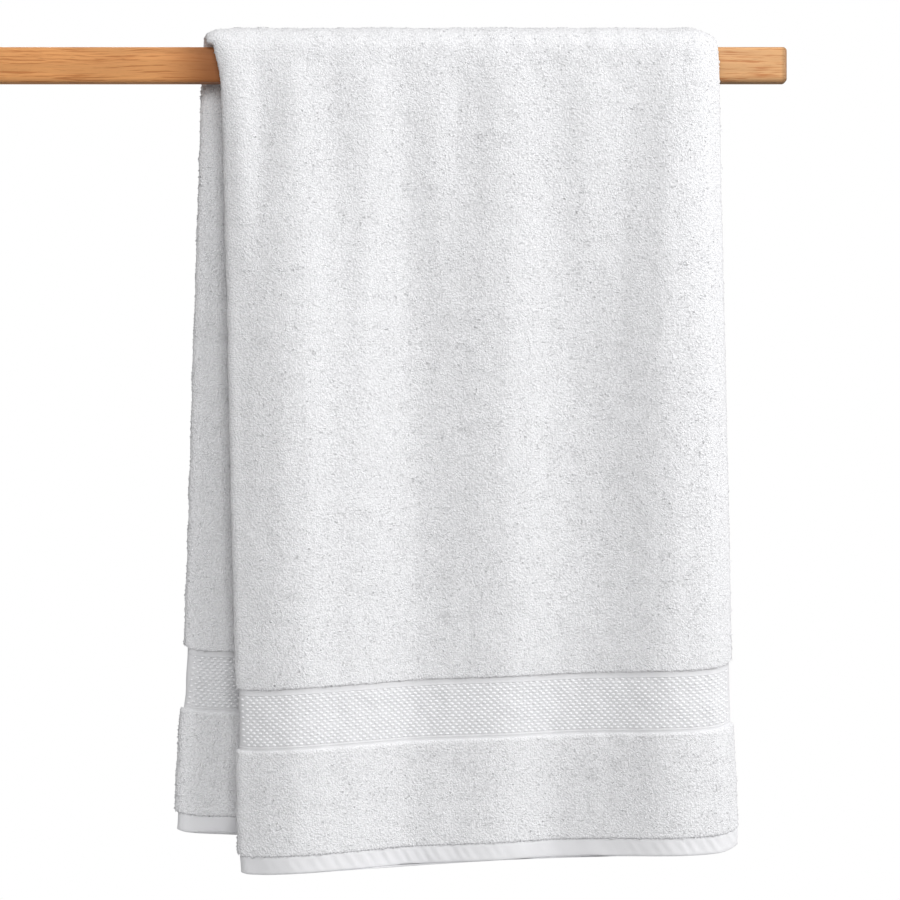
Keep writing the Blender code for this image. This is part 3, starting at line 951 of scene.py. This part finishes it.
def grow_tufts(part, model, material):
    """One piece of tufted pile, its tufts in staggered rows."""
    given = settings()
    behind, pitch = part.behind, given.tuft_pitch
    random = np.random.default_rng(len(part.name) + behind)
    middle = row_at(np.array([station_from_hem((part.start + part.end) / 2, behind)]))
    turned = developed_reach(middle, TUFT_TURN)
    if part.facing:
        across = np.arange(turned, developed_reach(middle, math.pi) + FACING_WIDTH, pitch)
    else:
        across = np.arange(TUFT_INSET, turned, pitch)
    distance = np.arange(part.start, part.end, pitch * math.sqrt(3) / 2)
    across, distance = np.meshgrid(across, distance)
    across = across + pitch / 2 * (np.arange(len(across)) % 2)[:, None]
    across, distance = across.ravel(), distance.ravel()
    count = len(across)
    across = across + random.normal(0, TUFT_STRAY * pitch, count)
    distance = distance + random.normal(0, TUFT_STRAY * pitch, count)
    station = station_from_hem(np.clip(distance, part.start, part.end), behind)
    to_fold = developed_reach(middle, 0) - across
    inner = ease(0, LOW_TUFTS, across) * ease(0, LOW_TUFTS, np.abs(to_fold))
    grown = blend(LOW_TUFT_SHARE, 1, inner)
    height = given.tuft_height * random.uniform(*TUFT_HEIGHTS, count) * grown
    radius = given.tuft_radius * random.uniform(*TUFT_RADII, count)
    lift = -TUFT_SUNK * given.tuft_height * grown
    places, sideways, onwards, outwards = skin_frame(station, across, lift, 1.0)
    turn = random.uniform(0, 2 * math.pi, count)[:, None]
    along, over = np.cos(turn), np.sin(turn)
    lean = random.normal(0, TUFT_LEAN, (2, count, 1))
    tip = outwards + lean[0] * sideways + lean[1] * onwards
    axes = (along * sideways + over * onwards, along * onwards - over * sideways, tip)
    sizes = np.column_stack((TUFT_LONGER * radius, radius / TUFT_LONGER, height))
    trim_piece(part.name, model, material, (places, *axes), sizes)


class TOWEL_OT_pile_tufts(bpy.types.Operator):
    """Raises the tufts of the terry pile, on the main pile and on the borders"""

    bl_idname = "bath_towel.pile_tufts"
    bl_label = "Pile tufts"

    def execute(self, context):
        model, material = model_tuft(), pile_material("cotton_tufts")
        for part in TUFTED:
            grow_tufts(part, model, material)
        return {"FINISHED"}


def model_dot():
    """One raised dot of the band: a low dome."""
    bpy.ops.mesh.primitive_uv_sphere_add(segments=10, ring_count=6, radius=1.0)
    set_mode("EDIT")
    bpy.ops.mesh.select_all(action="SELECT")
    bpy.ops.mesh.bisect(plane_co=(0, 0, -0.2), plane_no=(0, 0, -1), clear_outer=True)
    set_mode("OBJECT")
    return taken_model()


class TOWEL_OT_band_dots(bpy.types.Operator):
    """Weaves the raised dots of the two bands, in staggered rows"""

    bl_idname = "bath_towel.band_dots"
    bl_label = "Band dots"

    def execute(self, context):
        given = settings()
        model = model_dot()
        material = weave_material("cotton_dots", *DOT_YARN)
        for name, behind in DOTTED:
            random = np.random.default_rng(DOT_SEED + behind)
            middle = row_at(np.array([station_from_hem(DOTS_START, behind)]), 0.0)
            plain_from, plain_to = (developed_reach(middle, turn) for turn in PLAIN_TURNS)
            across = np.arange(DOTS_INSET, plain_to + FACING_WIDTH, DOT_PITCH)
            across, line = np.meshgrid(across, np.arange(DOT_ROWS))
            across = (across + DOT_PITCH / 2 * (line % 2)).ravel()
            distance = (DOTS_START + DOT_ROW_PITCH * line).ravel()
            woven = (across < plain_from) | ((across > plain_to) & behind)
            across, distance = across[woven], distance[woven]
            count = len(across)
            across = across + random.normal(0, DOT_STRAY, count)
            distance = distance + random.normal(0, DOT_ROW_STRAY, count)
            station = station_from_hem(distance, behind)
            sizes = np.column_stack(
                (
                    given.dot_length / 2 * random.uniform(*DOT_SIZES, count),
                    given.dot_width / 2 * random.uniform(*DOT_SIZES, count),
                    given.dot_height * random.uniform(*DOT_HEIGHTS, count),
                )
            )
            piece = trim_piece(name, model, material, skin_frame(station, across, 0.0), sizes)
            middles = np.column_stack((across, station))
            spots = middles[:, None] + model[0][None, :, :2] * sizes[:, None, :2]
            map_cloth(piece, spots.reshape(-1, 2))
        return {"FINISHED"}


def model_stitch():
    """One stitch: a thread that dips into the cloth at both ends."""
    bpy.ops.mesh.primitive_uv_sphere_add(
        segments=8, ring_count=8, radius=1.0, rotation=(0, math.pi / 2, 0)
    )
    bpy.ops.object.transform_apply(location=False, rotation=True, scale=False)
    return taken_model()


class TOWEL_OT_hem_stitches(bpy.types.Operator):
    """Sews the line of stitches that holds each turned hem"""

    bl_idname = "bath_towel.hem_stitches"
    bl_label = "Hem stitches"

    def execute(self, context):
        model, material = model_stitch(), thread_material()
        for name, behind in STITCHED:
            random = np.random.default_rng(STITCH_SEED + behind)
            station = np.array([station_from_hem(STITCH_DISTANCE, behind)])
            row = row_at(station, 0.0, 0.0, HEM_CLOTH)
            reach = developed_reach(row, STITCH_TURN) + (FACING_WIDTH if behind else 0)
            across = np.arange(STITCH_INSET, reach, STITCH_PITCH)
            count = len(across)
            distance = STITCH_DISTANCE + random.normal(0, STITCH_STRAY, count)
            station = station_from_hem(distance, behind)
            places = skin_frame(station, across, STITCH_LIFT, 0.0, HEM_CLOTH)
            length = STITCH_LENGTH * random.uniform(*STITCH_LENGTHS, count)
            width, height = np.full(count, STITCH_WIDTH), np.full(count, STITCH_HEIGHT)
            trim_piece(name, model, material, places, np.column_stack((length, width, height)))
        return {"FINISHED"}


def oak_material(name, fibre_length):
    given = settings()
    made, tree, shader, place = new_material(name, 0.5)
    along, _, up = node(tree, "ShaderNodeSeparateXYZ", {"Vector": place}).outputs
    fibres = {"Vector": place, "Fibre Length": fibre_length, "Fibre Width": FIBRE_WIDTH}
    grain = place_group(tree, "Wood grain", fibres)
    patches = {"Vector": place, "Patch Size": 50 * MM, "Amount": 0.16}
    tone = place_group(tree, "Slow tone", patches)["Tone"]
    dark, light, fibre = (
        (*colour, 1) for colour in (given.oak_dark, given.oak_light, given.oak_fibre)
    )
    towards_end = remap(tree, along, OAK_LIGHTENS)
    base = colour_mix(tree, towards_end, dark, light)
    base = colour_mix(tree, remap(tree, grain["Fibres"], end=(0.0, 0.74)), base, fibre)
    # Painted shade of the cloth: towards the cloth the oak is darkened and turned to its fibres'
    # colour, and this painted shade ends past it, under the cloth
    cloth_shade_ramp = remap(tree, along, OAK_CLOTH_SHADE_GROWS, (0.0, 0.85))
    painted_cloth_shade = math_node(tree, "MULTIPLY", cloth_shade_ramp, remap(tree, along, OAK_CLOTH_SHADE_ENDS, FALLING))
    base = colour_mix(tree, painted_cloth_shade, base, fibre)
    # Painted shade along the bar's lower arris, deeper towards its free end
    arris_shade = remap(tree, towards_end, end=(0.93, 0.60))
    shades = (
        remap(tree, grain["Pores"], end=(1.0, 0.86)),
        remap(tree, grain["Figure"], end=(0.92, 1.06)),
        tone,
        # painted shade on the lower arris
        remap(tree, up, (BAR_LOW.z + 0.5 * MM, BAR_LOW.z + 6 * MM), (arris_shade, 1.0)),
        # painted shade of the cloth
        remap(tree, painted_cloth_shade, end=(1.0, 0.72)),
        remap(tree, along, (BAR_HIGH.x - 5 * MM, BAR_HIGH.x - 1 * MM), (1.0, 0.6)),
    )
    roughness = remap(tree, grain["Pores"], end=(0.44, 0.62))
    tree.links.new(roughness, shader.inputs["Roughness"])
    height = math_node(
        tree, "SUBTRACT", math_node(tree, "MULTIPLY", grain["Fibres"], -0.4), grain["Pores"]
    )
    dress(tree, shader, scaled_colour(tree, base, *shades), height, 0.06 * MM, 0.5)
    return made


def bevel_edges(mesh, wanted, offset, segments):
    """Bevels the edges that the test wants, by how far along the bar they reach."""
    set_mode("EDIT")
    bpy.ops.mesh.select_mode(type="EDGE")
    bpy.ops.mesh.select_all(action="DESELECT")
    set_mode("OBJECT")
    for edge in mesh.edges:
        edge.select = wanted(max(mesh.vertices[place].co.x for place in edge.vertices))
    set_mode("EDIT")
    bpy.ops.mesh.bevel(offset=offset, segments=segments, profile=0.5)
    set_mode("OBJECT")


class TOWEL_OT_bar(bpy.types.Operator):
    """Planes the oak bar: eased arrises, a rounded free end and a sawn end"""

    bl_idname = "bath_towel.bar"
    bl_label = "Oak bar"

    def execute(self, context):
        bpy.ops.mesh.primitive_cube_add(size=1, location=(BAR_LOW + BAR_HIGH) / 2)
        piece = bpy.context.object
        piece.name = piece.data.name = "oak_bar"
        piece.scale = BAR_HIGH - BAR_LOW
        bpy.ops.object.transform_apply(location=True, rotation=False, scale=True)
        mesh = piece.data
        sawn = BAR_LOW.x + BAR_ARRIS
        bevel_edges(mesh, lambda far: far >= sawn, BAR_ARRIS, 6)
        bevel_edges(mesh, lambda far: far < sawn / 4, SAWN_ARRIS, 2)
        mesh.materials.append(oak_material("oak_side", SIDE_FIBRES))
        mesh.materials.append(oak_material("oak_end_grain", END_FIBRES))
        for face in mesh.polygons:
            face.material_index = 1 if abs(face.normal.x) > END_FACING else 0
        bpy.ops.object.shade_smooth_by_angle(angle=SMOOTH_ANGLE)
        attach(piece, "root")
        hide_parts("bar")
        return {"FINISHED"}


class TOWEL_OT_declare_cloth(bpy.types.Operator):
    """An empty step: it does nothing"""

    bl_idname = "bath_towel.declare_cloth"
    bl_label = "Towel as a sheet"

    def execute(self, context):
        return {"FINISHED"}


# The lamps: place, size and share of the light's power
LAMPS = (
    ("side", (2.6, -0.4, 0.3), 1.2, 0.36),
    ("key", (2.6, -1.5, 0.55), 1.2, 0.76),
    ("top", (0.4, -0.5, 1.9), 1.6, 0.42),
    ("front", (0.4, -3.2, 1.2), 1.6, 1.62),
    ("left", (-2.0, -1.4, 0.3), 1.4, 0.19),
    ("behind", (-0.6, 3.0, 1.2), 1.6, 1.20),
)
AIM = (0.38, 0, -0.25)
EYE = (0.3820, -3.024, -0.2951)
LENS, SENSOR_WIDTH = 157.5, 36
FLOOR_RADIUS, FLOOR_GREY = 2.2, (0.6, 0.6, 0.6, 1)


def lamp(name, place, size, watts):
    light = bpy.data.lights.new(name, "AREA")
    light.shape, light.size, light.energy = "SQUARE", size, watts
    made = bpy.data.objects.new(name, light)
    made.location = place
    made.rotation_euler = (Vector(AIM) - Vector(place)).to_track_quat("-Z", "Y").to_euler()
    bpy.context.scene.collection.objects.link(made)


class TOWEL_OT_stage(bpy.types.Operator):
    """Sets the floor, the studio light and the camera"""

    bl_idname = "bath_towel.stage"
    bl_label = "Studio"

    def execute(self, context):
        given = settings()
        bpy.ops.mesh.primitive_circle_add(
            vertices=96, radius=FLOOR_RADIUS, fill_type="NGON",
            location=(AIM[0], 0, given.floor_level),
        )
        floor = bpy.context.object
        floor.name = "floor"
        bpy.ops.object.transform_apply(location=True, rotation=False, scale=False)
        paint, _, shader, _ = new_material("floor_paint", 0.9)
        shader.inputs["Base Color"].default_value = FLOOR_GREY
        floor.data.materials.append(paint)

        for name, place, size, share in LAMPS:
            lamp(name, place, size, given.light_power * share)
        world = bpy.data.worlds.new("studio")
        world.use_nodes = True
        tree = world.node_tree
        backdrop = node(tree, "ShaderNodeBackground", {"Color": (1, 1, 1, 1), "Strength": 1.0})
        fill = tree.nodes["Background"]
        fill.inputs["Color"].default_value = (*given.fill_colour, 1)
        fill.inputs["Strength"].default_value = given.fill_strength
        seen = node(tree, "ShaderNodeLightPath").outputs["Is Camera Ray"]
        shown = {0: seen, 1: fill.outputs[0], 2: backdrop.outputs[0]}
        mixed = node(tree, "ShaderNodeMixShader", shown)
        tree.links.new(mixed.outputs[0], tree.nodes["World Output"].inputs["Surface"])
        context.scene.world = world
        context.scene.view_settings.view_transform = "Standard"

        camera = bpy.data.cameras.new("camera")
        camera.lens, camera.sensor_width = LENS, SENSOR_WIDTH
        eye = bpy.data.objects.new("camera", camera)
        eye.location = EYE
        eye.rotation_euler = (math.radians(90), 0, 0)
        context.scene.collection.objects.link(eye)
        context.scene.camera = eye
        return {"FINISHED"}


def colour_setting(name, description, default):
    return FloatVectorProperty(
        name=name, description=description, default=default, min=0, max=1, subtype="COLOR"
    )


def length_setting(name, description, default, low, high):
    """A length whose default and limits are given in millimetres."""
    return FloatProperty(
        name=name, description=description, default=default * MM, min=low * MM, max=high * MM,
        unit="LENGTH",
    )


class BathTowelSettings(bpy.types.PropertyGroup):
    pile_colour: colour_setting("Pile colour", "Colour of the terry loops", (0.836, 0.836, 0.853))
    weave_colour: colour_setting(
        "Weave colour", "Colour of the flat bands and hems", (0.81, 0.81, 0.827)
    )
    thread_colour: colour_setting(
        "Thread colour", "Colour of the sewing thread", (0.86, 0.865, 0.885)
    )
    loop_pitch: length_setting("Loop pitch", "Distance from one loop to the next", 1.55, 0.5, 6)
    loop_height: length_setting("Loop height", "How deep the loops' relief is", 0.75, 0, 4)
    hollow_shade: FloatProperty(
        name="Hollow shade", description="How much darker the hollows between loops are",
        default=0.15, min=0, max=1, subtype="FACTOR",
    )
    tuft_pitch: length_setting(
        "Tuft pitch", "Distance from one tuft of pile to the next", 2.1, 1.5, 6
    )
    tuft_height: length_setting("Tuft height", "Height of a tuft from its hidden foot", 1.3, 0, 4)
    tuft_radius: length_setting("Tuft radius", "Radius of a tuft at its hidden foot", 1.5, 0.2, 4)
    dimple_depth: length_setting(
        "Dimple depth", "How deep the cloth's quiet unevenness is", 0.22, 0, 2
    )
    pucker_depth: length_setting("Pucker depth", "How deep the hems' puckers are", 0.42, 0, 1)
    dot_length: length_setting("Dot length", "Length of a raised dot across the towel", 3.1, 1, 5)
    dot_width: length_setting("Dot width", "Width of a raised dot along the towel", 1.8, 0.5, 4)
    dot_height: length_setting("Dot height", "How far a dot stands out from the band", 0.85, 0, 2)
    oak_dark: colour_setting(
        "Oak, held end", "Colour of the oak towards its held end", (0.68, 0.315, 0.114)
    )
    oak_light: colour_setting(
        "Oak, free end", "Colour of the oak towards its free end", (0.63, 0.346, 0.155)
    )
    oak_fibre: colour_setting("Oak, fibres", "Colour of the oak's dark fibres", (0.42, 0.14, 0.038))
    light_power: FloatProperty(
        name="Light", description="Power that the lamps share", default=42.8, min=0, unit="POWER",
    )
    fill_strength: FloatProperty(
        name="Fill", description="Strength of the soft light from all round",
        default=0.06, min=0, max=4,
    )
    fill_colour: colour_setting(
        "Fill colour", "Colour of the soft light from all round", (1, 1, 1)
    )
    floor_level: FloatProperty(
        name="Floor level", description="Height of the floor below the bar",
        default=-1.0, unit="LENGTH",
    )


class TOWEL_PT_sidebar(bpy.types.Panel):
    """Sizes and colours of the towel, its bar and the studio"""

    bl_idname = "TOWEL_PT_sidebar"
    bl_label = "Bath towel"
    bl_space_type = "VIEW_3D"
    bl_region_type = "UI"
    bl_category = "Bath towel"

    def draw(self, context):
        for name in BathTowelSettings.__annotations__:
            self.layout.prop(context.scene.bath_towel, name)
        for operator in OPERATORS:
            self.layout.operator(operator.bl_idname)


OPERATORS = (
    TOWEL_OT_bar,
    TOWEL_OT_cloth,
    TOWEL_OT_pile_tufts,
    TOWEL_OT_band_dots,
    TOWEL_OT_hem_stitches,
    TOWEL_OT_declare_cloth,
    TOWEL_OT_stage,
)
CLASSES = (BathTowelSettings, *OPERATORS, TOWEL_PT_sidebar)


def register():
    for made in CLASSES:
        bpy.utils.register_class(made)
    bpy.types.Scene.bath_towel = PointerProperty(type=BathTowelSettings)


def unregister():
    del bpy.types.Scene.bath_towel
    for made in reversed(CLASSES):
        bpy.utils.unregister_class(made)


def main():
    register()
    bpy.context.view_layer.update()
    for operator in OPERATORS:
        group, name = operator.bl_idname.split(".")
        getattr(getattr(bpy.ops, group), name)()


if __name__ == "__main__":
    main()
